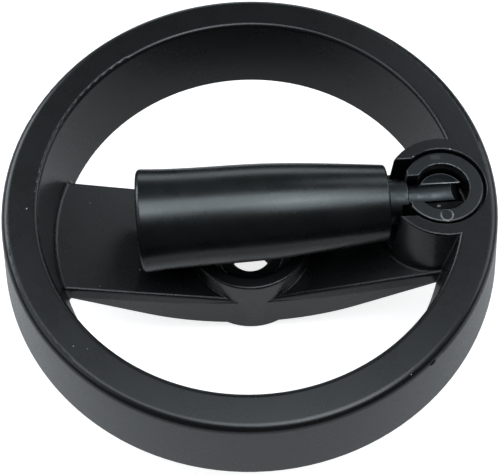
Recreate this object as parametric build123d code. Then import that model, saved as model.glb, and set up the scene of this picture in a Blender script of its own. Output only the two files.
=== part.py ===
"""Machine handwheel: two spokes, a dished hub and a grip that folds away.

Millimetres, +Z up along the wheel's axis. The origin is the centre of the
hub's back face. The spokes lie along X and the handle's socket is at +X.
Depths named "drop" are measured down from the rim's top face.
"""

import math
import os

from build123d import *

# Rim: a ring with drafted walls
rim_top = 56.5
rim_height = 27.1
rim_outer_bottom_r = 80.18
rim_outer_lean = 3.98
rim_land = 11.05
rim_inner_lean = 2.85
rim_outer_top_r = rim_outer_bottom_r - rim_outer_lean
rim_inner_top_r = rim_outer_top_r - rim_land
rim_inner_bottom_r = rim_inner_top_r - rim_inner_lean
rim_outer_round = 2.6
rim_inner_round = 1.3
rim_foot_round = 1.2

# Spokes: one bar across the wheel, moulded in two halves that meet at a parting line
spoke_half_width = 20.25
parting_step = 0.25
spoke_bite = 0.85
spoke_root_r = rim_inner_top_r + spoke_bite
spoke_top_drop_at_root = 19.8
spoke_top_drop_at_axis = 37.092
spoke_top_slope = (spoke_top_drop_at_axis - spoke_top_drop_at_root) / spoke_root_r
spoke_draft = 7.0
spoke_edge_round = 1.0
spoke_blend = 1.2
parting_drop_at_rim = 26.62
parting_drop_at_knee = 35.1
parting_drop_at_axis = 37.4
belly_drop = 52.2
belly_arc_r = 66.0
belly_arc_end_r = 35.0
belly_end_gap = 3.3
belly_end_r = rim_inner_bottom_r - belly_end_gap

# Hub: a cup that holds the bush
hub_top_drop = 25.0
hub_proud = 0.45
hub_lean = 0.5
hub_wall = 4.2
hub_top_r = spoke_half_width + hub_proud
hub_bottom_r = hub_top_r - hub_lean
spoke_knee_gap = 3.3
spoke_knee_r = hub_top_r + spoke_knee_gap
spoke_side_end = math.sqrt(rim_inner_bottom_r**2 - spoke_half_width**2)
parting_slope = (parting_drop_at_knee - parting_drop_at_rim) / (spoke_side_end - spoke_knee_r)
parting_drop_at_root = parting_drop_at_rim - parting_slope * (spoke_root_r - spoke_side_end)
hub_round = 0.7
hub_foot_chamfer = 0.8
recess_r = hub_top_r - hub_wall
recess_drop = 39.2

# Bush in the hub
bore_r = 7.0
bush_r = 11.0
bush_groove_r = 10.2
bush_groove_from_back = 6.0
bush_groove_width = 4.0
bush_chamfer = 0.6

# Socket: the boss that holds the handle's mechanism
socket_inset = 16.2
socket_x = rim_outer_top_r - socket_inset
boss_inset = 2.85
boss_top_r = spoke_half_width - boss_inset
boss_draft = 2.0
boss_sink = 1.069
boss_round = 0.5
boss_blend = 0.6
gate_round = 0.5
mouth_r = 13.25
mouth_depth = 4.0
mouth_round = 0.5
socket_floor_drop = 19.0
gate_half_width = 10.0
gate_drop = 21.2
gate_reach = 12.7
floor_thickness = 2.5

# Spring housing under the socket
housing_r = 10.0
housing_drop = 37.0
housing_round = 1.0
pocket_r = 5.6

# Fold line: the line that the handle lies on when it is folded
fold_turn = 2.0
droop = 0.5
pin_drop = 8.0
pin_r = 2.0
pin_half_length = 6.8
pin_chamfer = 0.3

# Guide sleeve
sleeve_r = 12.4
sleeve_drop = 0.5
sleeve_round = 0.4
sleeve_bore_r = 8.1
guide_r = 7.42
guide_drop = 9.5
seat_drop = 17.0
slot_half_width = 4.53
slot_drop = 13.5
lip_flat = 10.5
dowel_r = 1.9
dowel_pitch_r = 10.2
dowel_bottom_drop = 22.0
dowel_chamfer = 0.1

# Clevis plunger
plunger_r = 7.35
plunger_top_drop = 4.4
plunger_round = 0.4
near_ear_drop = 4.8
near_ear_slope = 20.0
tongue_gap = 0.07
heel_room = 5.9
stem_r = 2.5
stem_hole_r = 3.0
stem_end_drop = 35.6
stem_chamfer = 0.4

# Spring, washer and nut on the stem
spring_wire = 0.9
spring_mean_r = 3.6
spring_turns = 3.5
spring_length = 9.0
washer_r = 5.0
washer_thickness = 0.8
nut_flats = 8.0
nut_height = 3.2

# Handle spindle, measured along its axis from the hinge pin
tongue_half = 3.0
heel = 5.0
heel_chamfer = 2.3
shoulder = 10.7
tongue_r = 5.0
neck_r = 7.0
neck_flats_half = 4.4
neck_flats_end = 13.1
neck_chamfer = 0.3
neck_end = 16.95
journal_r = 4.0
journal_end = 89.6
ring_groove_r = 3.5
ring_groove_at = 87.3
spindle_chamfer = 0.5

# Grip, measured the same way: distance along the axis, radius
grip_stations = [(36.4, 13.85), (55.8, 15.2), (75.2, 15.47)]
grip_start = 17.05
grip_start_r = 11.95
grip_start_round = 0.7
grip_end = 94.55
grip_end_r = 16.2
grip_end_round = 1.3
grip_recess_r = 9.2
grip_recess_at = 86.0

# Pieces in the grip's end
thrust_washer_r = 7.5
thrust_washer_thickness = 1.0
snap_ring_r = 6.2
snap_ring_thickness = 0.9
snap_ring_gap = 5.0
cap_thickness = 2.4
cap_inset = 0.6
cap_dish_r = 6.5
cap_dish_depth = 0.8

# Clearances
press_gap = 0.01
running_gap = 0.05
end_gap = 0.1
rest_gap = 0.02


def level(drop):
    """Height of a face that lies this far below the rim's top."""
    return rim_top - drop


def turned(points, axis=Axis.Z):
    """Solid of revolution of a closed outline of (radius, height) points."""
    outline = Plane.XZ * make_face(Polyline(*points, close=True))
    return revolve(outline, axis)


def disc(radius, low, high):
    """Cylinder about Z between two heights."""
    return Pos(0, 0, low) * Cylinder(
        radius, high - low, align=(Align.CENTER, Align.CENTER, Align.MIN)
    )


def block(x_range, y_range, z_range):
    """Box between three pairs of limits."""
    low, high = zip(x_range, y_range, z_range)
    sizes = [b - a for a, b in zip(low, high)]
    return Pos(*low) * Box(*sizes, align=(Align.MIN,) * 3)


def circles_at(solid, height, radius, tolerance=0.05):
    """Circular edges of a solid at one height and one radius."""
    return [
        edge
        for edge in solid.edges().filter_by(GeomType.CIRCLE)
        if abs(edge.center().Z - height) < tolerance
        and abs(edge.radius - radius) < tolerance
    ]


def seam(solid, centre_x, radii, heights):
    """Edges that stay in a ring around the upright line at centre_x, between two heights."""

    def inside(point):
        radius = math.hypot(point.X - centre_x, point.Y)
        return radii[0] < radius < radii[1] and heights[0] < point.Z < heights[1]

    return [
        edge
        for edge in solid.edges()
        if edge.length > 1 and all(inside(edge @ t) for t in (0, 0.5, 1))
    ]


def edges_on_level(solid, height):
    """Edges that lie in the horizontal plane at one height."""
    return [
        edge
        for edge in solid.edges()
        if all(abs((edge @ t).Z - height) < 0.001 for t in (0, 0.5, 1))
    ]


socket_frame = Pos(socket_x, 0, 0)
fold_frame = socket_frame * Rot(0, 0, fold_turn)
handle_frame = fold_frame * Pos(0, 0, level(pin_drop)) * Rot(0, -droop, 0)


# Wheel body

rim_bottom = level(rim_height)
rim = turned(
    [
        (rim_inner_bottom_r, rim_bottom),
        (rim_outer_bottom_r, rim_bottom),
        (rim_outer_top_r, rim_top),
        (rim_inner_top_r, rim_top),
    ]
)
rim = fillet(circles_at(rim, rim_top, rim_outer_top_r), rim_outer_round)
rim = fillet(circles_at(rim, rim_top, rim_inner_top_r), rim_inner_round)
rim = fillet(circles_at(rim, rim_bottom, rim_outer_bottom_r), rim_foot_round)


def spoke_top(radius):
    """Height of the spoke's top face at a distance from the axis."""
    return level(spoke_top_drop_at_root + spoke_top_slope * (spoke_root_r - radius))


def spoke_upper_half():
    """Upper half of the +X spoke: a drafted bar with round top edges, cut at the parting line."""
    high = spoke_top(0)
    lean = math.tan(math.radians(spoke_draft))
    depth = 2 * (parting_drop_at_root - spoke_top_drop_at_root)
    top_half_width = spoke_half_width - lean * depth / 2
    low_half_width = spoke_half_width + lean * depth / 2
    outline = make_face(
        Polyline(
            (-low_half_width, high - depth),
            (low_half_width, high - depth),
            (top_half_width, high),
            (-top_half_width, high),
            close=True,
        )
    )
    outline = fillet(outline.vertices().group_by(Axis.Y)[-1], spoke_edge_round)
    run = spoke_root_r * math.hypot(1, spoke_top_slope)
    bar = extrude(Plane.YZ * outline, run, dir=(1, 0, spoke_top_slope))
    above_parting = make_face(
        Polyline(
            (0, level(parting_drop_at_axis)),
            (spoke_knee_r, level(parting_drop_at_knee)),
            (spoke_root_r, level(parting_drop_at_root)),
            (spoke_root_r, rim_top),
            (0, rim_top),
            close=True,
        )
    )
    return bar & extrude(Plane.XZ * above_parting, spoke_half_width * 2, both=True)


def belly_outline():
    """Side view of the spokes' lower half: an arc under the hub, straight to the rim."""
    centre_height = level(belly_drop) + belly_arc_r
    sweep = math.asin(belly_arc_end_r / belly_arc_r)
    arc_end_height = centre_height - belly_arc_r * math.cos(sweep)
    arc_end = (belly_arc_end_r, arc_end_height)
    rim_foot = (belly_end_r, rim_bottom)
    root_foot = (spoke_root_r, rim_bottom)
    root_top = (spoke_root_r, level(parting_drop_at_root))
    knee_top = (spoke_knee_r, level(parting_drop_at_knee))
    right = Polyline(arc_end, rim_foot, root_foot, root_top, knee_top)
    left = Polyline(*[(-x, z) for x, z in (arc_end, rim_foot, root_foot, root_top, knee_top)])
    over_hub = Polyline(
        knee_top, (0, level(parting_drop_at_axis)), (-spoke_knee_r, level(parting_drop_at_knee))
    )
    arc = ThreePointArc((-belly_arc_end_r, arc_end_height), (0, level(belly_drop)), arc_end)
    return make_face([*right.edges(), *left.edges(), *over_hub.edges(), arc.edge()])


belly_half_width = spoke_half_width - parting_step
belly = extrude(Plane.XZ * belly_outline(), amount=belly_half_width, both=True)
upper_right = spoke_upper_half()
upper_left = mirror(upper_right, about=Plane.YZ)

hub = turned(
    [
        (0, 0),
        (hub_bottom_r, 0),
        (hub_top_r, level(hub_top_drop)),
        (recess_r, level(hub_top_drop)),
        (recess_r, level(recess_drop)),
        (0, level(recess_drop)),
    ]
)
hub = fillet(circles_at(hub, level(hub_top_drop), hub_top_r), hub_round)
hub = fillet(circles_at(hub, level(hub_top_drop), recess_r), hub_round)
hub = chamfer(circles_at(hub, 0, hub_bottom_r), hub_foot_chamfer)

boss_foot_drop = rim_top - spoke_top(socket_x - boss_top_r) + boss_sink
boss_foot_r = boss_top_r + boss_foot_drop * math.tan(math.radians(boss_draft))
boss = Pos(0, 0, level(boss_foot_drop)) * Cone(
    boss_foot_r, boss_top_r, boss_foot_drop, align=(Align.CENTER, Align.CENTER, Align.MIN)
)
boss = fillet(circles_at(boss, rim_top, boss_top_r), boss_round)
rim_disc = turned(
    [(0, rim_bottom), (rim_outer_bottom_r, rim_bottom), (rim_outer_top_r, rim_top), (0, rim_top)]
)
rim_disc = fillet(circles_at(rim_disc, rim_top, rim_outer_top_r), rim_outer_round)
boss = (socket_frame * boss) & rim_disc

housing = disc(housing_r, level(housing_drop), level(socket_floor_drop + floor_thickness))
housing = fillet(circles_at(housing, level(housing_drop), housing_r), housing_round)
housing = socket_frame * housing


def flare(half_width, radius):
    """Arc that rounds the edge of an opening in the rim's top face, drawn as (out, up)."""
    dip = radius * (1 - math.cos(math.pi / 4))
    return ThreePointArc(
        (half_width, rim_top - radius),
        (half_width + dip, rim_top - dip),
        (half_width + radius, rim_top),
    )


def mouth_cutter():
    """Socket bore with a wider mouth whose edge flares out at the rim's top face."""
    mouth_flare = flare(mouth_r, mouth_round)
    bore = sleeve_r + press_gap
    wall = Polyline(
        (mouth_r + mouth_round, rim_top),
        (mouth_r + mouth_round, rim_top + 1),
        (0, rim_top + 1),
        (0, level(socket_floor_drop)),
        (bore, level(socket_floor_drop)),
        (bore, rim_top - mouth_depth),
        (mouth_r, rim_top - mouth_depth),
        (mouth_r, rim_top - mouth_round),
    )
    return revolve(Plane.XZ * make_face([mouth_flare.edge(), *wall.edges()]), Axis.Z)


def bush_solid(gap):
    """Bush outline with its retaining groove, grown by a gap on the outside."""
    outer = bush_r + gap
    groove = bush_groove_r + gap
    groove_top = bush_groove_from_back + bush_groove_width
    outline = [
        (0, 0),
        (outer, 0),
        (outer, bush_groove_from_back + gap),
        (groove, bush_groove_from_back + gap),
        (groove, groove_top - gap),
        (outer, groove_top - gap),
        (outer, level(recess_drop)),
        (0, level(recess_drop)),
    ]
    return turned(outline)


open_top = rim_top + 1
wide = boss_foot_r + 1
gate = block((-wide, 0), (-gate_half_width, gate_half_width), (level(socket_floor_drop), open_top))
gate += block((-wide, -gate_reach), (-gate_half_width, gate_half_width), (level(gate_drop), open_top))
gate_flare = flare(gate_half_width, gate_round)
gate_flare_base = Line(gate_flare @ 0, (0, rim_top - gate_round))
gate_flare_side = Polyline(gate_flare @ 1, (0, rim_top), (0, rim_top - gate_round))
gate_flare = make_face([gate_flare.edge(), *gate_flare_side.edges(), gate_flare_base.edge()])
gate_flare = extrude(Plane.YZ * gate_flare, -wide)
gate += gate_flare + mirror(gate_flare, about=Plane.XZ)
dowel_hole_bottom = level(dowel_bottom_drop) - rest_gap
dowel_at = socket_frame * Pos(0, -dowel_pitch_r, 0)
dowel_hole = dowel_at * disc(dowel_r + press_gap, dowel_hole_bottom, open_top)
pocket = disc(pocket_r, level(housing_drop) - 1, level(socket_floor_drop + floor_thickness))
stem_hole = disc(stem_hole_r, level(housing_drop), level(socket_floor_drop) + 1)

right_arm = upper_right + boss
boss_seam = [
    edge
    for edge in seam(right_arm, socket_x, (boss_top_r, boss_foot_r), (0, rim_top))
    if all(
        0 <= spoke_top((edge @ t).X) - (edge @ t).Z + rest_gap < spoke_edge_round
        for t in (0, 0.5, 1)
    )
]
right_arm = fillet(boss_seam, boss_blend)

wheel_body = rim + belly + right_arm + upper_left + hub + housing
rim_seam = seam(
    wheel_body,
    0,
    (rim_inner_bottom_r, rim_inner_top_r),
    (level(parting_drop_at_root) - spoke_blend, spoke_top(rim_inner_top_r)),
)
wheel_body = fillet([edge for edge in rim_seam if edge.center().X < 0], spoke_blend)

wheel_body -= disc(recess_r, level(recess_drop), rim_top)
wheel_body -= bush_solid(press_gap)
wheel_body -= socket_frame * (mouth_cutter() + gate + pocket + stem_hole)
wheel_body -= dowel_hole

# Bush

hub_bush = bush_solid(0) - disc(bore_r, -1, rim_top)
bore_edges = circles_at(hub_bush, 0, bore_r) + circles_at(hub_bush, level(recess_drop), bore_r)
hub_bush = chamfer(bore_edges, bush_chamfer)

# Guide sleeve

sleeve_top = level(sleeve_drop)
sleeve_foot = level(socket_floor_drop) + rest_gap
guide_sleeve = disc(sleeve_r, sleeve_foot, sleeve_top)
guide_sleeve -= disc(sleeve_bore_r, level(guide_drop), open_top)
guide_sleeve -= disc(guide_r, level(seat_drop), open_top)
guide_sleeve -= disc(stem_hole_r, level(socket_floor_drop) - 1, open_top)
guide_sleeve -= block(
    (-sleeve_r - 1, 0), (-slot_half_width, slot_half_width), (level(slot_drop), open_top)
)
guide_sleeve -= block(
    (-sleeve_r - 1, -lip_flat), (-sleeve_r, sleeve_r), (level(socket_floor_drop) - 1, open_top)
)
guide_sleeve = fillet(edges_on_level(guide_sleeve, sleeve_top), sleeve_round)
guide_sleeve = fold_frame * guide_sleeve - dowel_hole

# Dowel

sleeve_pin = disc(dowel_r, level(dowel_bottom_drop), sleeve_top)
sleeve_pin = dowel_at * chamfer(sleeve_pin.edges().filter_by(GeomType.CIRCLE), dowel_chamfer)

# Clevis plunger

slot_floor = level(pin_drop + heel_room)
plunger_top = level(plunger_top_drop)
plunger_foot = level(seat_drop) + rest_gap
ear_gap = tongue_half + tongue_gap
clevis_plunger = disc(plunger_r, plunger_foot, plunger_top)
clevis_plunger += disc(stem_r, level(stem_end_drop), plunger_foot)
clevis_plunger = chamfer(circles_at(clevis_plunger, level(stem_end_drop), stem_r), stem_chamfer)
clevis_plunger -= block((-plunger_r, plunger_r), (-ear_gap, ear_gap), (slot_floor, open_top))
clevis_plunger = fillet(edges_on_level(clevis_plunger, plunger_top), plunger_round)
near_ear_cut = block((-plunger_r, plunger_r), (-2 * plunger_r, ear_gap), (0, plunger_r))
clevis_plunger -= Pos(0, -ear_gap, level(near_ear_drop)) * Rot(near_ear_slope, 0, 0) * near_ear_cut
pin_hole = Pos(0, 0, level(pin_drop)) * Rot(90, 0, 0) * Cylinder(pin_r + press_gap, 2 * plunger_r)
clevis_plunger -= pin_hole
clevis_plunger = fold_frame * clevis_plunger

# Hinge pin

hinge_pin = Cylinder(pin_r, 2 * pin_half_length)
hinge_pin = chamfer(hinge_pin.edges().filter_by(GeomType.CIRCLE), pin_chamfer)
hinge_pin = fold_frame * Pos(0, 0, level(pin_drop)) * Rot(90, 0, 0) * hinge_pin

# Spring, washer and nut under the socket

spring_top = level(socket_floor_drop + floor_thickness) - rest_gap
spring_foot = spring_top - spring_length
helix_height = spring_length - spring_wire
helix = Helix(helix_height / spring_turns, helix_height, spring_mean_r)
wire_circle = Plane(origin=helix @ 0, z_dir=helix % 0) * Circle(spring_wire / 2)
plunger_spring = sweep(wire_circle, path=helix, is_frenet=True)
plunger_spring = socket_frame * Pos(0, 0, spring_foot + spring_wire / 2) * plunger_spring

washer_top = spring_foot - rest_gap
washer_foot = washer_top - washer_thickness
spring_washer = disc(washer_r, washer_foot, washer_top)
spring_washer -= disc(stem_r + press_gap, washer_foot, washer_top)
spring_washer = socket_frame * spring_washer

nut_corner_r = nut_flats / math.sqrt(3)
nut_top = washer_foot - rest_gap
lock_nut = extrude(Pos(0, 0, nut_top - nut_height) * RegularPolygon(nut_corner_r, 6), nut_height)
lock_nut -= disc(stem_r + press_gap, nut_top - nut_height, nut_top)
lock_nut = fold_frame * lock_nut


def along(points):
    """Solid of revolution about the handle's axis of (distance, radius) points."""
    outline = make_face(Polyline(*[(-s, r) for s, r in points], close=True))
    return revolve(outline, Axis.X)


def drum(radius, start, end):
    """Cylinder on the handle's axis between two distances from the hinge pin."""
    return along([(start, 0), (start, radius), (end, radius), (end, 0)])


# Handle spindle

groove_end = ring_groove_at + snap_ring_thickness + end_gap
handle_spindle = along(
    [
        (-heel, 0),
        (-heel, tongue_r),
        (shoulder, tongue_r),
        (shoulder, neck_r - neck_chamfer),
        (shoulder + neck_chamfer, neck_r),
        (neck_end, neck_r),
        (neck_end, journal_r),
        (ring_groove_at, journal_r),
        (ring_groove_at, ring_groove_r),
        (groove_end, ring_groove_r),
        (groove_end, journal_r),
        (journal_end - spindle_chamfer, journal_r),
        (journal_end, journal_r - spindle_chamfer),
        (journal_end, 0),
    ]
)
for side in (-1, 1):
    for half, end in ((tongue_half, shoulder), (neck_flats_half, neck_flats_end)):
        inner, outer = sorted((side * half, side * (neck_r + 1)))
        handle_spindle -= block((-end, heel + 1), (inner, outer), (-neck_r - 1, neck_r + 1))
corner = heel_chamfer * math.sqrt(2)
for height in (-tongue_r, tongue_r):
    wedge = Rot(0, 45, 0) * Box(corner, 2 * tongue_r, corner)
    handle_spindle -= Pos(heel, 0, height) * wedge
handle_spindle -= Rot(90, 0, 0) * Cylinder(pin_r + running_gap, 2 * tongue_r)
handle_spindle = handle_frame * handle_spindle


def grip_outline():
    """Outline of the grip: a taper that swells to the far end, with rounded ends."""
    round_dip = 1 - math.cos(math.pi / 4)
    near = (-grip_start - grip_start_round, grip_start_r)
    near_round = ThreePointArc(
        (-grip_start, grip_start_r - grip_start_round),
        (-grip_start - grip_start_round * round_dip, grip_start_r - grip_start_round * round_dip),
        near,
    )
    far = (-grip_end + grip_end_round, grip_end_r)
    far_round = ThreePointArc(
        far,
        (-grip_end + grip_end_round * round_dip, grip_end_r - grip_end_round * round_dip),
        (-grip_end, grip_end_r - grip_end_round),
    )
    body = Spline(near, *[(-s, r) for s, r in grip_stations], far)
    bore = journal_r + running_gap
    inside = Polyline(
        (-grip_end, grip_end_r - grip_end_round),
        (-grip_end, grip_recess_r),
        (-grip_recess_at, grip_recess_r),
        (-grip_recess_at, bore),
        (-grip_start, bore),
        (-grip_start, grip_start_r - grip_start_round),
    )
    return make_face([near_round.edge(), body.edge(), far_round.edge(), *inside.edges()])


# Grip and the pieces in its end

grip = handle_frame * revolve(grip_outline(), Axis.X)

washer_at = grip_recess_at + end_gap
washer_end = washer_at + thrust_washer_thickness
grip_washer = drum(thrust_washer_r, washer_at, washer_end)
grip_washer = handle_frame * (grip_washer - drum(journal_r + running_gap, 0, grip_end))

ring_at = ring_groove_at + end_gap / 2
snap_ring = drum(snap_ring_r, ring_at, ring_at + snap_ring_thickness)
snap_ring -= drum(ring_groove_r + press_gap, 0, grip_end)
snap_ring -= block((-grip_end, 0), (-snap_ring_gap / 2, snap_ring_gap / 2), (0, snap_ring_r + 1))
snap_ring = handle_frame * snap_ring

cap_start = grip_end - cap_inset - cap_thickness
grip_cap = drum(grip_recess_r - press_gap, cap_start, grip_end - cap_inset)
grip_cap -= drum(cap_dish_r, grip_end - cap_inset - cap_dish_depth, grip_end)
grip_cap = handle_frame * grip_cap

pieces = {
    "wheel_body": wheel_body,
    "hub_bush": hub_bush,
    "guide_sleeve": guide_sleeve,
    "sleeve_pin": sleeve_pin,
    "clevis_plunger": clevis_plunger,
    "hinge_pin": hinge_pin,
    "handle_spindle": handle_spindle,
    "grip": grip,
    "grip_washer": grip_washer,
    "snap_ring": snap_ring,
    "grip_cap": grip_cap,
    "plunger_spring": plunger_spring,
    "spring_washer": spring_washer,
    "lock_nut": lock_nut,
}

os.makedirs("parts", exist_ok=True)
for name, piece in pieces.items():
    export_step(piece, f"parts/{name}.step")
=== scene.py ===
import math

import bpy
import numpy as np
from mathutils import Matrix, Vector


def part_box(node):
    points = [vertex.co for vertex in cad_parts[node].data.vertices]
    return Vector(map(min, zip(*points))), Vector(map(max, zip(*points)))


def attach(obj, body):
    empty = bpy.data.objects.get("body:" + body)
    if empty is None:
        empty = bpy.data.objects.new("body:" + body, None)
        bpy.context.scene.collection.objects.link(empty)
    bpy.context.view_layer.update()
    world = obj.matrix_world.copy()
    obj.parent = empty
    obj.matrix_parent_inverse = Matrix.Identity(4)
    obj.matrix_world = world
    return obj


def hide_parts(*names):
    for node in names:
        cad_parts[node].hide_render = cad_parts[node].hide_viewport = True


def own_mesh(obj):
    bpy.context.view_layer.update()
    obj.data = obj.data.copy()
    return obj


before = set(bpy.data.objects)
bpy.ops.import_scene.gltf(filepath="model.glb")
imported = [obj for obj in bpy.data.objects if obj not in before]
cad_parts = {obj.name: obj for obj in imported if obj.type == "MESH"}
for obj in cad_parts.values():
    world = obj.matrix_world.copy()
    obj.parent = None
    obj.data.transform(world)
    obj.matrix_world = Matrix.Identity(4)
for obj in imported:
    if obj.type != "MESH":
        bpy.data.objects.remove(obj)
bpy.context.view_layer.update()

# ---- The wheel body --------------------------------------------------------
# One moulding in black phenolic plastic: the rim, two dished spokes, the hub
# and the boss that holds the handle's socket. It comes from a fine-satin die,
# so its skin has a faint orange peel, and its edges are painted paler, partly
# as burnished wear and partly as a painted highlight.

mm_in_a_metre = 1000


def recipe(name, takes, gives):
    """A shader node group: takes and gives are lists of (socket name, kind, starting value)."""
    group = bpy.data.node_groups.new(name, "ShaderNodeTree")
    for in_out, sockets in (("INPUT", takes), ("OUTPUT", gives)):
        for socket, kind, start in sockets:
            made = group.interface.new_socket(socket, in_out=in_out, socket_type="NodeSocket" + kind)
            if start is not None:
                made.default_value = start
    return group, group.nodes.new("NodeGroupInput"), group.nodes.new("NodeGroupOutput")


def put(tree, kind, feeds=None, **settings):
    """A node of that kind with its settings, and feeds {socket: a value or another node's output}."""
    node = tree.nodes.new("ShaderNode" + kind)
    for setting, value in settings.items():
        setattr(node, setting, value)
    for socket, value in (feeds or {}).items():
        if isinstance(value, bpy.types.NodeSocket):
            tree.links.new(value, node.inputs[socket])
        else:
            node.inputs[socket].default_value = value
    return node


def ramp(tree, value, low, high, to_low=0.0, to_high=1.0):
    """value carried from low..high to to_low..to_high with soft ends."""
    limits = {"Value": value, "From Min": low, "From Max": high, "To Min": to_low, "To Max": to_high}
    return put(tree, "MapRange", limits, interpolation_type="SMOOTHSTEP").outputs["Result"]


def product(tree, one, other):
    return put(tree, "Math", {0: one, 1: other}, operation="MULTIPLY").outputs[0]


def total(tree, one, other):
    return put(tree, "Math", {0: one, 1: other}, operation="ADD").outputs[0]


def one_over(tree, value):
    return put(tree, "Math", {0: 1.0, 1: value}, operation="DIVIDE").outputs[0]


def mix(tree, share, under, over):
    """The colour under, covered by the colour over as far as share says."""
    return put(tree, "MixRGB", {"Fac": share, "Color1": under, "Color2": over}).outputs[0]


def place_in_mm(tree, centre=(0, 0, 0), turn=(0, 0, 0)):
    """The surface point in millimetres, from a centre and turned to line a pattern up with a part."""
    here = put(tree, "TexCoord").outputs["Object"]
    moved = put(tree, "Mapping", {"Vector": here, "Location": [-c for c in centre]}).outputs[0]
    return put(tree, "Mapping", {"Vector": moved, "Rotation": turn, "Scale": (mm_in_a_metre,) * 3}).outputs[0]


# what a die leaves on plastic: slow clouding from the flow, and a fine peel
moulded_skin, taken, given = recipe(
    "moulded skin",
    [("Place", "Vector", None), ("Cloud Size", "Float", 14.0), ("Peel Size", "Float", 0.7),
     ("Wave Size", "Float", 12.0), ("Wave Share", "Float", 0.0)],
    [("Cloud", "Float", None), ("Streak", "Float", None), ("Relief", "Float", None)])
g = moulded_skin
at = taken.outputs["Place"]
streaks_to_a_cloud = 5.3
cloud_scale = one_over(g, taken.outputs["Cloud Size"])
streak_scale = product(g, cloud_scale, streaks_to_a_cloud)
peel_scale, wave_scale = one_over(g, taken.outputs["Peel Size"]), one_over(g, taken.outputs["Wave Size"])
cloud = put(g, "TexNoise", {"Vector": at, "Scale": cloud_scale, "Detail": 4.0, "Roughness": 0.55})
streak = put(g, "TexNoise", {"Vector": at, "Scale": streak_scale, "Detail": 3.0, "Roughness": 0.6})
peel = put(g, "TexNoise", {"Vector": at, "Scale": peel_scale, "Detail": 2.0, "Roughness": 0.5})
wave = put(g, "TexNoise", {"Vector": at, "Scale": wave_scale, "Detail": 1.0, "Roughness": 0.4})
g.links.new(ramp(g, cloud.outputs["Fac"], 0.3, 0.7), given.inputs["Cloud"])
g.links.new(ramp(g, streak.outputs["Fac"], 0.3, 0.7), given.inputs["Streak"])
swell = product(g, wave.outputs["Fac"], taken.outputs["Wave Share"])
g.links.new(total(g, peel.outputs["Fac"], swell), given.inputs["Relief"])

# where an edge is: the normal of a slightly rounded copy leaves the true one, by an angle whose cosine
# falls from edge_begins to edge_full
edge_begins, edge_full = 0.998, 0.94
# an edge mask: it paints edges paler, partly as wear and partly as a painted highlight, and gives their eased
# normal
edge_wear_and_highlight, taken, given = recipe(
    "edge wear and highlight",
    [("Place", "Vector", None), ("Radius", "Float", 0.0004), ("Break Up", "Float", 0.5)],
    [("Mask", "Float", None), ("Normal", "Vector", None)])
g = edge_wear_and_highlight
eased = put(g, "Bevel", {"Radius": taken.outputs["Radius"]}, samples=6).outputs[0]
true_normal = put(g, "NewGeometry").outputs["Normal"]
turned_by = put(g, "VectorMath", {0: eased, 1: true_normal}, operation="DOT_PRODUCT").outputs["Value"]
chafe = put(g, "TexNoise", {"Vector": taken.outputs["Place"], "Scale": 0.6, "Detail": 3.0}).outputs["Fac"]
missed = product(g, ramp(g, chafe, 0.35, 0.65), taken.outputs["Break Up"])
kept = put(g, "Math", {0: 1.0, 1: missed}, operation="SUBTRACT").outputs[0]
g.links.new(product(g, ramp(g, turned_by, edge_begins, edge_full), kept), given.inputs["Mask"])
g.links.new(eased, given.inputs["Normal"])

# a few pale specks lying on surfaces that face up: only cells with a lot over speck_lot hold one, and
# a surface holds them as the height of its normal goes through lies_on
speck_lot, lies_on = 0.7, (0.75, 0.9)
settled_dust, taken, given = recipe(
    "settled dust",
    [("Place", "Vector", None), ("Spacing", "Float", 4.0), ("Speck", "Float", 0.045)],
    [("Mask", "Float", None)])
g = settled_dust
speck_scale = one_over(g, taken.outputs["Spacing"])
specks = put(g, "TexVoronoi", {"Vector": taken.outputs["Place"], "Randomness": 1.0, "Scale": speck_scale})
lot = put(g, "SeparateColor", {"Color": specks.outputs["Color"]})
size = product(g, taken.outputs["Speck"], ramp(g, lot.outputs["Red"], speck_lot, 1.0))
dot = put(g, "Math", {0: specks.outputs["Distance"], 1: size}, operation="LESS_THAN").outputs[0]
facing = put(g, "SeparateXYZ", {"Vector": put(g, "NewGeometry").outputs["Normal"]}).outputs["Z"]
g.links.new(product(g, dot, ramp(g, facing, *lies_on)), given.inputs["Mask"])

# the first colour paints edges paler, partly as burnished wear and partly as a painted highlight; the second
# is settled dust
burnish_and_highlight_black, dust_grey = (0.03, 0.033, 0.036, 1), (0.38, 0.39, 0.4, 1)
burnish_and_highlight_share, burnish_gloss, streak_gloss = 0.5, -0.06, 0.006


def new_material(name):
    """A material of that name, with its node tree and its shader."""
    material = bpy.data.materials.new(name)
    material.use_nodes = True
    return material, material.node_tree, material.node_tree.nodes["Principled BSDF"]


def feed_shader(tree, shader, colour, gloss, skin, edge, depth):
    """The shader takes a colour, a gloss and a skin's relief, depth millimetres high, on eased edges."""
    relief = put(tree, "Bump", {"Height": skin.outputs["Relief"], "Normal": edge.outputs["Normal"],
                                "Strength": 1.0, "Distance": depth / mm_in_a_metre})
    tree.links.new(colour, shader.inputs["Base Color"])
    tree.links.new(gloss, shader.inputs["Roughness"])
    tree.links.new(relief.outputs[0], shader.inputs["Normal"])


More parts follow.
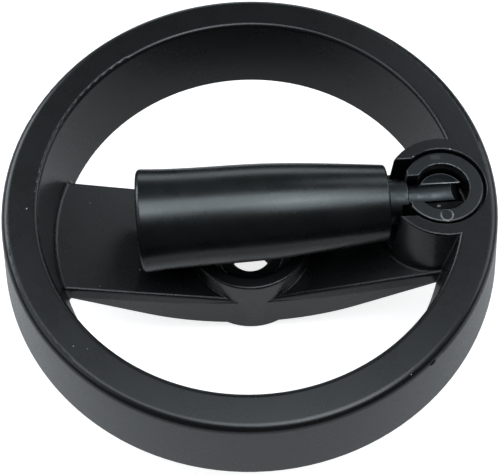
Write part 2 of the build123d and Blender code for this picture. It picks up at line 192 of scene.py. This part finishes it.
def moulded_plastic(name, deep, clouded, roughness, peel_size, peel_depth, wave=(12.0, 0.0),
                    edge_radius=0.0004, edge_break=0.5, dust=0.07, mirror=1.5, sheen=(1, 1, 1, 1)):
    """Plastic in two close blacks, clouded, peeled, painted paler on its edges as burnished wear and a
    painted highlight, and a little dusty.
    roughness is (smoothest, dullest), wave the size and share of slow waves, dust the largest speck's share
    of its cell, mirror the refractive index and sheen the tint of the highlights."""
    material, tree, shader = new_material(name)
    place = place_in_mm(tree)
    skin = put(tree, "Group", node_tree=moulded_skin)
    edge = put(tree, "Group", node_tree=edge_wear_and_highlight)
    specks = put(tree, "Group", node_tree=settled_dust)
    for node in (skin, edge, specks):
        tree.links.new(place, node.inputs["Place"])
    skin.inputs["Peel Size"].default_value = peel_size
    skin.inputs["Wave Size"].default_value, skin.inputs["Wave Share"].default_value = wave
    edge.inputs["Radius"].default_value = edge_radius
    edge.inputs["Break Up"].default_value = edge_break
    specks.inputs["Speck"].default_value = dust
    shader.inputs["IOR"].default_value = mirror
    shader.inputs["Specular Tint"].default_value = sheen
    colour = mix(tree, skin.outputs["Cloud"], deep, clouded)
    # edges painted paler: partly burnished wear, partly a painted highlight
    colour = mix(tree, product(tree, edge.outputs["Mask"], burnish_and_highlight_share), colour, burnish_and_highlight_black)
    colour = mix(tree, specks.outputs["Mask"], colour, dust_grey)
    gloss = total(tree, ramp(tree, skin.outputs["Cloud"], 0.0, 1.0, roughness[0], roughness[1]),
                  ramp(tree, skin.outputs["Streak"], 0.0, 1.0, -streak_gloss, streak_gloss))
    gloss = total(tree, gloss, product(tree, edge.outputs["Mask"], burnish_gloss))
    feed_shader(tree, shader, colour, gloss, skin, edge, peel_depth)
    return material


def dress(node, material):
    """The CAD node of that name wears the material."""
    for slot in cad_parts[node].material_slots:
        slot.material = material


satin = moulded_plastic("satin moulding", (0.0040, 0.0049, 0.0051, 1), (0.0050, 0.0059, 0.0062, 1),
                        (0.272, 0.284), 0.9, 0.0004, edge_radius=0.0005, edge_break=0.15)
dress("wheel_body", satin)

# ---- The nib on the rim ----------------------------------------------------
# Where the two halves of the die meet, one trace of flash was trimmed by hand
# and left a small nib of plastic at the foot of the rim's outer rounding.

nib_middle = Matrix.Rotation(math.radians(-48.7), 4, "Z") @ Vector((0.07635, 0, 0.0548))
nib_tilt = math.radians(44)
nib_half_length, nib_half_height, nib_stands = 0.0013, 0.00075, 0.00025
nib_rings, nib_rounds = 12, 32


def round_faces(rows, rounds):
    """The quads between rows of points that each go once round."""
    return [(r * rounds + c, (r + 1) * rounds + c, (r + 1) * rounds + (c + 1) % rounds,
             r * rounds + (c + 1) % rounds) for r in range(rows - 1) for c in range(rounds)]


def new_piece(name, points, faces, material):
    """A piece with those points and faces, smooth but for faces of over four sides, in one material."""
    mesh = bpy.data.meshes.new(name)
    mesh.from_pydata(points.tolist(), [], faces)
    mesh.polygons.foreach_set("use_smooth", [len(face) <= 4 for face in faces])
    mesh.materials.append(material)
    piece = bpy.data.objects.new(name, mesh)
    bpy.context.scene.collection.objects.link(piece)
    return piece


def lens(out, up, along):
    """A lens: point(v, u) = middle + stands cos(v) out + half length sin(v) cos(u) along
    + half height sin(v) sin(u) up, with v 0..180 degrees between two end points and u round the lens."""
    v = np.linspace(0, np.pi, nib_rings + 1)[1:-1, None]
    u = np.linspace(0, 2 * np.pi, nib_rounds, endpoint=False)[None, :]
    grid = (nib_stands * np.cos(v + 0 * u)[..., None] * out
            + nib_half_length * (np.sin(v) * np.cos(u))[..., None] * along
            + nib_half_height * (np.sin(v) * np.sin(u))[..., None] * up)
    ends = [nib_stands * out, -nib_stands * out]
    points = np.concatenate([grid.reshape(-1, 3), ends]) + np.array(nib_middle)
    outer_end, last_row = (nib_rings - 1) * nib_rounds, (nib_rings - 2) * nib_rounds
    after = [(c + 1) % nib_rounds for c in range(nib_rounds)]
    faces = round_faces(nib_rings - 1, nib_rounds)
    faces += [(outer_end, c, after[c]) for c in range(nib_rounds)]
    faces += [(outer_end + 1, last_row + after[c], last_row + c) for c in range(nib_rounds)]
    return points, faces


radial = np.array((nib_middle.x, nib_middle.y, 0)) / math.hypot(nib_middle.x, nib_middle.y)
upright = np.array((0, 0, 1))
nib_out = math.cos(nib_tilt) * radial + math.sin(nib_tilt) * upright
nib_up = math.cos(nib_tilt) * upright - math.sin(nib_tilt) * radial
nib = new_piece("rim_nib", *lens(nib_out, nib_up, np.cross(upright, radial)), satin)
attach(nib, "wheel")

# ---- The hub bush ----------------------------------------------------------
# A turned steel sleeve that takes the shaft. It is put in the die first and
# the plastic sets round its groove, so only its bore and end face show.

# rings left by a turning tool round the Z axis of Place
turned_marks, taken, given = recipe(
    "turned marks",
    [("Place", "Vector", None), ("Pitch", "Float", 0.25)],
    [("Lines", "Float", None), ("Blotch", "Float", None), ("Relief", "Float", None)])
g = turned_marks
at = taken.outputs["Place"]
parts = put(g, "SeparateXYZ", {"Vector": at})
flat_place = put(g, "CombineXYZ", {"X": parts.outputs["X"], "Y": parts.outputs["Y"]}).outputs[0]
from_axis = put(g, "VectorMath", {0: flat_place}, operation="LENGTH").outputs["Value"]
ring_place = put(g, "CombineXYZ", {"X": from_axis, "Y": parts.outputs["Z"]}).outputs[0]
pitch_scale = one_over(g, taken.outputs["Pitch"])
lines = put(g, "TexNoise", {"Vector": ring_place, "Scale": pitch_scale, "Detail": 3.0, "Roughness": 0.6})
blotch = put(g, "TexNoise", {"Vector": at, "Scale": 0.35, "Detail": 4.0, "Roughness": 0.6})
grit = put(g, "TexNoise", {"Vector": at, "Scale": 3.0, "Detail": 2.0})
line_relief, grit_relief = 0.7, 0.5
g.links.new(ramp(g, lines.outputs["Fac"], 0.3, 0.7), given.inputs["Lines"])
g.links.new(ramp(g, blotch.outputs["Fac"], 0.35, 0.65), given.inputs["Blotch"])
ridges, grains = product(g, lines.outputs["Fac"], line_relief), product(g, grit.outputs["Fac"], grit_relief)
g.links.new(total(g, ridges, grains), given.inputs["Relief"])

blotch_shade, line_shade, line_gloss = 0.7, 0.3, 0.03


def turned_steel(name, dark, pale, roughness, centre, turn=(0, 0, 0), pitch=0.25, depth=0.0015,
                 edge_radius=0.00025, edge_wear_and_highlight_colour=(0.30, 0.31, 0.32, 1), edge_wear_and_highlight_share=0.8, marks=None):
    """Steel with rings about an axis, blotched where the finish took unevenly and painted bright on its
    edges, partly as worn finish and partly as a painted highlight. roughness is (smoothest, dullest); marks,
    where given, adds its own wear, painted highlights and painted shade at its own places."""
    material, tree, shader = new_material(name)
    shader.inputs["Metallic"].default_value = 1.0
    place = place_in_mm(tree, centre, turn)
    rings = put(tree, "Group", node_tree=turned_marks)
    edge = put(tree, "Group", node_tree=edge_wear_and_highlight)
    for node in (rings, edge):
        tree.links.new(place, node.inputs["Place"])
    rings.inputs["Pitch"].default_value = pitch
    edge.inputs["Radius"].default_value = edge_radius
    shade = total(tree, product(tree, rings.outputs["Blotch"], blotch_shade),
                  product(tree, rings.outputs["Lines"], line_shade))
    colour = mix(tree, shade, dark, pale)
    # edges painted bright: partly worn finish, partly a painted highlight
    colour = mix(tree, product(tree, edge.outputs["Mask"], edge_wear_and_highlight_share), colour, edge_wear_and_highlight_colour)
    gloss = total(tree, ramp(tree, rings.outputs["Blotch"], 0.0, 1.0, roughness[1], roughness[0]),
                  ramp(tree, rings.outputs["Lines"], 0.0, 1.0, -line_gloss, line_gloss))
    if marks:
        colour, gloss = marks(tree, place, colour, gloss)
    feed_shader(tree, shader, colour, gloss, rings, edge, depth)
    return material


bush_dark, bush_pale = (0.014, 0.015, 0.016, 1), (0.026, 0.027, 0.029, 1)
dress("hub_bush", turned_steel("turned bush steel", bush_dark, bush_pale, (0.3, 0.42), (0, 0, 0), pitch=0.3,
                               edge_wear_and_highlight_share=0.25))

# ---- The guide sleeve and its dowel ----------------------------------------
# A blackened steel sleeve pressed into the boss. Its bore guides the plunger,
# the slot in its wall lets the handle down, and a dowel driven through its
# flange keeps it from turning. Its edges are painted bright, partly as finish
# worn to steel and partly as a painted highlight.


def middle(node):
    """The middle of a CAD node's box."""
    low, high = (Vector(corner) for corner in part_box(node))
    return (low + high) / 2


# the sleeve is open on one side, so its box has its middle off the axis;
# the washer below it is a full round
socket_axis = middle("spring_washer")
socket_axis.z = 0

blackened_dark, blackened_pale = (0.034, 0.037, 0.039, 1), (0.05, 0.053, 0.056, 1)
# in millimetres from the socket's axis: a scuff's band begins, is full, wanes and ends, a line has its
# inner and outer radius, and a half begins and is full
scuff_across, scuff_along, scuff_share = (-2.9, -2.3, 0.1, 0.6), (9.6, 10.0, 11.2, 11.6), 0.3
# the scuff's own grey, then the grey of the painted highlight rings round the bore and the flange
scuff_grey, highlight_line_grey = (0.13, 0.135, 0.14, 1), (0.15, 0.155, 0.16, 1)
bore_line, flange_line, line_share = (8.35, 8.5), (11.85, 12.0), 0.8
broken_by, far_half, near_half, scuff_dullness = (0.4, 0.56), (1.0, 4.0), (-1.0, -5.0), 0.1


def band(tree, value, begins, full, wanes, ends):
    """1 from full to wanes, with a soft fall to 0 at begins and at ends."""
    return product(tree, ramp(tree, value, begins, full), ramp(tree, value, ends, wanes))


def worn_ring(tree, place, inner, outer, soft=0.12):
    """A mask that is 1 between two radii about the part's axis in millimetres and falls to 0 over the soft
    width, and the place split into X, Y and Z."""
    here = put(tree, "SeparateXYZ", {"Vector": place})
    flat = put(tree, "CombineXYZ", {"X": here.outputs["X"], "Y": here.outputs["Y"]}).outputs[0]
    out = put(tree, "VectorMath", {0: flat}, operation="LENGTH").outputs["Value"]
    return band(tree, out, inner - soft, inner, outer, outer + soft), here


def sleeve_scuff_and_highlights(tree, place, colour, gloss):
    """A scuff on the far face, which is a soft-edged box, and two painted highlight rings: a broken one round
    the far half of the bore and a whole one round the near half of the flange."""
    here = put(tree, "SeparateXYZ", {"Vector": place})
    across = band(tree, here.outputs["X"], *scuff_across)
    along = band(tree, here.outputs["Y"], *scuff_along)
    rubbed = product(tree, product(tree, across, along), scuff_share)
    colour = mix(tree, rubbed, colour, scuff_grey)
    chafe = put(tree, "TexNoise", {"Vector": place, "Scale": 0.8, "Detail": 2.0}).outputs["Fac"]
    # painted highlight rings: the far half of the bore's edge and the near half of the flange's edge
    inner = product(tree, worn_ring(tree, place, *bore_line)[0], ramp(tree, chafe, *broken_by))
    inner = product(tree, inner, ramp(tree, here.outputs["Y"], *far_half))
    outer = product(tree, worn_ring(tree, place, *flange_line)[0], ramp(tree, here.outputs["Y"], *near_half))
    colour = mix(tree, product(tree, total(tree, inner, outer), line_share), colour, highlight_line_grey)
    return colour, total(tree, gloss, product(tree, rubbed, scuff_dullness))


dress("guide_sleeve", turned_steel("blackened sleeve steel", blackened_dark, blackened_pale, (0.34, 0.42),
                                   tuple(socket_axis), pitch=0.35, depth=0.0012, edge_radius=0.0004,
                                   edge_wear_and_highlight_colour=(0.42, 0.43, 0.44, 1), marks=sleeve_scuff_and_highlights))

dowel_axis = middle("sleeve_pin")
dowel_axis.z = 0
# a painted highlight: a pale line on the near half of the dowel's chamfer
dowel_line, dowel_near_half, dowel_highlight_grey = (1.62, 1.78), (1.2, -0.2), (0.3, 0.305, 0.31, 1)


def dowel_highlight_arc(tree, place, colour, gloss):
    """The dowel's chamfer with a painted highlight on its near half: a ring at its own radius."""
    rim, here = worn_ring(tree, place, *dowel_line)
    rim = product(tree, rim, ramp(tree, here.outputs["Y"], *dowel_near_half))
    return mix(tree, rim, colour, dowel_highlight_grey), gloss


dress("sleeve_pin", turned_steel("dowel steel", blackened_dark, blackened_pale, (0.32, 0.4),
                                 tuple(dowel_axis), pitch=0.2, edge_wear_and_highlight_share=0.12, marks=dowel_highlight_arc))

# ---- The plunger's spring --------------------------------------------------
# Drawn spring wire wound to three and a half turns. It hangs under the guide
# and pulls the handle's tongue down into the sleeve's slot. On the real part it
# closes up towards its fixed top end by as much as the plunger rises; this coil
# is wound at one length and rides with the wheel.

wire_r, coil_r, coil_turns = 0.00045, 0.0036, 3.5
steps_along, steps_round = 168, 16
spring_low, spring_high = (Vector(corner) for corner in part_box("plunger_spring"))


def wound_wire():
    """A round wire on a helix: point(t, u) = spine(t) + wire radius (cos u side(t) + sin u rise(t)), where
    spine(t) goes round the socket's axis at the coil radius and climbs evenly, side(t) points away from the
    axis, rise(t) is square to side(t) and the wire, t runs 0..1 along the wire and u 0..360 degrees round
    it."""
    angle = 2 * np.pi * coil_turns * np.linspace(0, 1, steps_along + 1)
    height = np.linspace(spring_low.z + wire_r, spring_high.z - wire_r, steps_along + 1)
    side = np.stack([np.cos(angle), np.sin(angle), 0 * angle], axis=1)
    spine = coil_r * side + np.stack([0 * angle + socket_axis.x, 0 * angle + socket_axis.y, height], axis=1)
    climb = (height[-1] - height[0]) / (2 * np.pi * coil_turns * coil_r)
    along = np.stack([-np.sin(angle), np.cos(angle), 0 * angle + climb], axis=1) / math.hypot(1, climb)
    rise = np.cross(side, along)
    u = np.linspace(0, 2 * np.pi, steps_round, endpoint=False)[None, :, None]
    points = spine[:, None] + wire_r * (np.cos(u) * side[:, None] + np.sin(u) * rise[:, None])
    caps = [list(range(steps_round)), [steps_along * steps_round + c for c in range(steps_round)][::-1]]
    return points.reshape(-1, 3), round_faces(steps_along + 1, steps_round) + caps


wire_steel = turned_steel("spring wire", (0.13, 0.13, 0.135, 1), (0.26, 0.26, 0.265, 1), (0.25, 0.36),
                          tuple(socket_axis), pitch=0.12, depth=0.0006)
coil = new_piece("plunger_coil", *wound_wire(), wire_steel)
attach(coil, "wheel")
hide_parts("plunger_spring")
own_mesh(coil)

# ---- The plunger, its hinge pin, washer and nut ----------------------------
# A blackened steel plunger with two ears. The hinge pin passes through both
# ears and the handle's tongue; the washer and nut under it hold the spring.

# in millimetres from the socket's axis and the wheel's foot: the far arc has its inner and outer radius,
# the far straight begins, is full, wanes and ends, and other pairs begin and are full
# painted highlight: a pale line along the far ear's arc and straight edge, on its top
far_arc, far_straight, far_side, ear_height = (6.85, 7.05), (3.3, 3.4, 3.6, 3.7), (3.3, 3.5), (49.0, 49.6)
# painted shade: the near ear's top and the deep part of the socket are painted near black where shade falls
near_ear_shade, deep_shade_heights = (-2.4, -2.9), (46.5, 45.5)
# painted highlight: a pale soft spot by the tongue, inside the painted shade
glint_at, glint_reach, glint_edge = (-1.2, -4.2, 51.2), (0.75, 0.4, 1.5), 0.6
far_highlight_grey, painted_shade_black, glint_grey = (0.2, 0.205, 0.21, 1), (0.003, 0.0035, 0.003, 1), (0.045, 0.045, 0.045, 1)


def larger(tree, one, other):
    return put(tree, "Math", {0: one, 1: other}, operation="MAXIMUM").outputs[0]


def ears_painted_light(tree, place, colour, gloss):
    """A painted highlight round the far ear's edge, then painted shade, near black, on the near ear and deep
    in the socket, and one paler spot in that shade by the tongue, a painted highlight which is a soft-edged
    ball stretched by its reach along each axis."""
    arc, here = worn_ring(tree, place, *far_arc)
    high = ramp(tree, here.outputs["Z"], *ear_height)
    straight = band(tree, here.outputs["Y"], *far_straight)
    arc = product(tree, arc, ramp(tree, here.outputs["Y"], *far_side))
    line = product(tree, total(tree, arc, straight), high)
    line = put(tree, "Math", {0: line, 1: 1.0}, operation="MINIMUM").outputs[0]
    # the painted highlight along the far ear's edge
    colour = mix(tree, line, colour, far_highlight_grey)
    shade_over_ears = product(tree, ramp(tree, here.outputs["Y"], *near_ear_shade), high)
    shade_over_ears = larger(tree, shade_over_ears, ramp(tree, here.outputs["Z"], *deep_shade_heights))
    # painted shade over the near ear and deep in the socket
    colour = mix(tree, shade_over_ears, colour, painted_shade_black)
    # the painted highlight spot by the tongue
    off = put(tree, "VectorMath", {0: place, 1: glint_at}, operation="SUBTRACT").outputs[0]
    shrink = [1 / reach for reach in glint_reach]
    off = put(tree, "VectorMath", {0: off, 1: shrink}, operation="MULTIPLY").outputs[0]
    away = put(tree, "VectorMath", {0: off}, operation="LENGTH").outputs["Value"]
    return mix(tree, ramp(tree, away, 1.0, glint_edge), colour, glint_grey), gloss


plunger_dark, plunger_pale = (0.022, 0.024, 0.027, 1), (0.034, 0.037, 0.04, 1)
dress("clevis_plunger", turned_steel("blackened plunger steel", plunger_dark, plunger_pale, (0.34, 0.42),
                                     tuple(socket_axis), pitch=0.3, edge_radius=0.0004, edge_wear_and_highlight_share=0.2,
                                     marks=ears_painted_light))
pin_axis = middle("hinge_pin")
pin_dark, pin_pale = (0.35, 0.355, 0.36, 1), (0.5, 0.505, 0.51, 1)
dress("hinge_pin", turned_steel("hinge pin steel", pin_dark, pin_pale, (0.22, 0.32), tuple(pin_axis),
                                turn=(math.radians(90), 0, 0), pitch=0.15, depth=0.0006))
zinc = turned_steel("zinc plate", (0.42, 0.425, 0.43, 1), (0.58, 0.58, 0.575, 1), (0.28, 0.4),
                    tuple(socket_axis), pitch=0.4, depth=0.001, edge_wear_and_highlight_colour=(0.7, 0.7, 0.7, 1))
dress("spring_washer", zinc)
dress("lock_nut", zinc)

# ---- The handle's spindle --------------------------------------------------
# Turned from round steel, with its tongue and the neck's flats milled, and
# blackened. The grip runs on its long journal, held by a washer and a ring.

spindle_line = (middle("grip") - Vector(pin_axis)).normalized()
spindle_turn = spindle_line.to_track_quat("Z", "Y").to_matrix().inverted().to_euler()

spindle_dark, spindle_pale = (0.038, 0.0415, 0.0435, 1), (0.062, 0.0665, 0.0695, 1)
dress("handle_spindle", turned_steel("blackened spindle steel", spindle_dark, spindle_pale, (0.36, 0.46),
                                     tuple(pin_axis), turn=tuple(spindle_turn), pitch=0.3, depth=0.003))
ring_dark, ring_pale = (0.12, 0.12, 0.125, 1), (0.24, 0.24, 0.245, 1)
for ring in ("grip_washer", "snap_ring"):
    dress(ring, turned_steel(ring.replace("_", " ") + " steel", ring_dark, ring_pale, (0.26, 0.36),
                             tuple(middle(ring)), turn=tuple(spindle_turn), pitch=0.2, depth=0.0008))

# ---- The grip and its end cap ----------------------------------------------
# A barrel-shaped grip moulded in black thermosetting plastic and buffed, so
# it shines more than the wheel and carries fine buffing waves. A plain cap is
# pressed into its open end.

grip_black, grip_clouded = (0.0035, 0.0044, 0.0044, 1), (0.0055, 0.0064, 0.0066, 1)
dress("grip", moulded_plastic("buffed grip plastic", grip_black, grip_clouded, (0.26, 0.3), 0.45, 0.003,
                              wave=(13.0, 12.0), edge_radius=0.0003, dust=0.04, mirror=1.56,
                              sheen=(0.95, 1.0, 1.0, 1)))
cap_black, cap_clouded = (0.006, 0.0065, 0.0068, 1), (0.01, 0.0105, 0.011, 1)
dress("grip_cap", moulded_plastic("cap plastic", cap_black, cap_clouded, (0.42, 0.5), 0.5, 0.004,
                                  edge_radius=0.0003))

# ---- The stand and the studio ----------------------------------------------
# A pale paper floor that lies flat under the wheel, lit by large soft boxes
# hung round and over it, with a camera on a stand in front.

half_floor = 3.0
white_when_seen, white_when_mirrored = 0.82, 0.12
floor_mesh = bpy.data.meshes.new("floor")
corners = [(x * half_floor, y * half_floor, 0) for x, y in ((-1, -1), (1, -1), (1, 1), (-1, 1))]
floor_mesh.from_pydata(corners, [], [(0, 1, 2, 3)])
floor = bpy.data.objects.new("floor", floor_mesh)
bpy.context.scene.collection.objects.link(floor)

paper = bpy.data.materials.new("white paper")
paper.use_nodes = True
tree = paper.node_tree
tree.nodes.clear()
seen = put(tree, "LightPath")
mirrored = larger(tree, seen.outputs["Is Glossy Ray"], seen.outputs["Is Transmission Ray"])
shown = total(tree, product(tree, seen.outputs["Is Camera Ray"], white_when_seen),
              product(tree, mirrored, white_when_mirrored))
paper_matt = put(tree, "BsdfDiffuse", {"Color": (0.6, 0.6, 0.6, 1)}).outputs[0]
paper_white = put(tree, "Emission", {"Color": (1, 1, 1, 1), "Strength": shown}).outputs[0]
both = put(tree, "AddShader", {0: paper_matt, 1: paper_white}).outputs[0]
put(tree, "OutputMaterial", {"Surface": both})
floor_mesh.materials.append(paper)

# each soft box: name, compass angle and height angle in degrees, width, height, brightness
soft_boxes = [
    ("overhead box", 0, 85, 0.75, 0.75, 4.15),
    ("front box", 315, 70, 0.65, 0.60, 3.4),
    ("back left box", 143, 33, 1.00, 0.75, 4.6),
    ("low back box", 90, 10, 0.90, 0.45, 1.55),
    ("right box", 23, 33, 0.95, 0.80, 2.15),
    ("high right box", 58, 43, 0.50, 0.50, 1.75),
    ("left box", 190, 42, 0.80, 0.70, 1.1),
    ("high left box", 160, 68, 0.50, 0.50, 2.9),
]
aim = Vector((0, 0, 0.03))
box_distance, daylight = 1.5, (0.92, 1.0, 1.06)
for name, compass, rise, width, height, brightness in soft_boxes:
    compass, rise = math.radians(compass), math.radians(rise)
    out = Vector((math.cos(rise) * math.cos(compass), math.cos(rise) * math.sin(compass), math.sin(rise)))
    lamp = bpy.data.lights.new(name, "AREA")
    lamp.shape, lamp.size, lamp.size_y, lamp.color = "RECTANGLE", width, height, daylight
    lamp.energy = brightness * math.pi * width * height
    box = bpy.data.objects.new(name, lamp)
    bpy.context.scene.collection.objects.link(box)
    box.location = aim + out * box_distance
    box.rotation_euler = (-out).to_track_quat("-Z", "Y").to_euler()

room_glow, glow_when_seen = 0.06, 1.0
room = bpy.data.worlds.new("dim room")
bpy.context.scene.world = room
room.use_nodes = True
backdrop = room.node_tree.nodes["Background"]
backdrop.inputs["Color"].default_value = (1, 1, 1, 1)
looked_at = put(room.node_tree, "LightPath").outputs["Is Camera Ray"]
glow = ramp(room.node_tree, looked_at, 0.0, 1.0, room_glow, glow_when_seen)
room.node_tree.links.new(glow, backdrop.inputs["Strength"])

camera = bpy.data.objects.new("camera", bpy.data.cameras.new("camera"))
bpy.context.scene.collection.objects.link(camera)
rightward, forward = Vector((0.99913, -0.03999, -0.01181)), Vector((0.00838, 0.46998, -0.88264)).normalized()
rightward = (rightward - forward * rightward.dot(forward)).normalized()
upward = rightward.cross(forward)
stands_at = Vector((-0.00321, -0.17840, 0.36264))
axes = Matrix((rightward, upward, -forward)).transposed()
camera.matrix_world = Matrix.Translation(stands_at) @ axes.to_4x4()
camera.data.lens, camera.data.sensor_width, camera.data.sensor_fit = 82.79, 36, "HORIZONTAL"
bpy.context.scene.camera = camera
bpy.context.scene.view_settings.view_transform = "Standard"
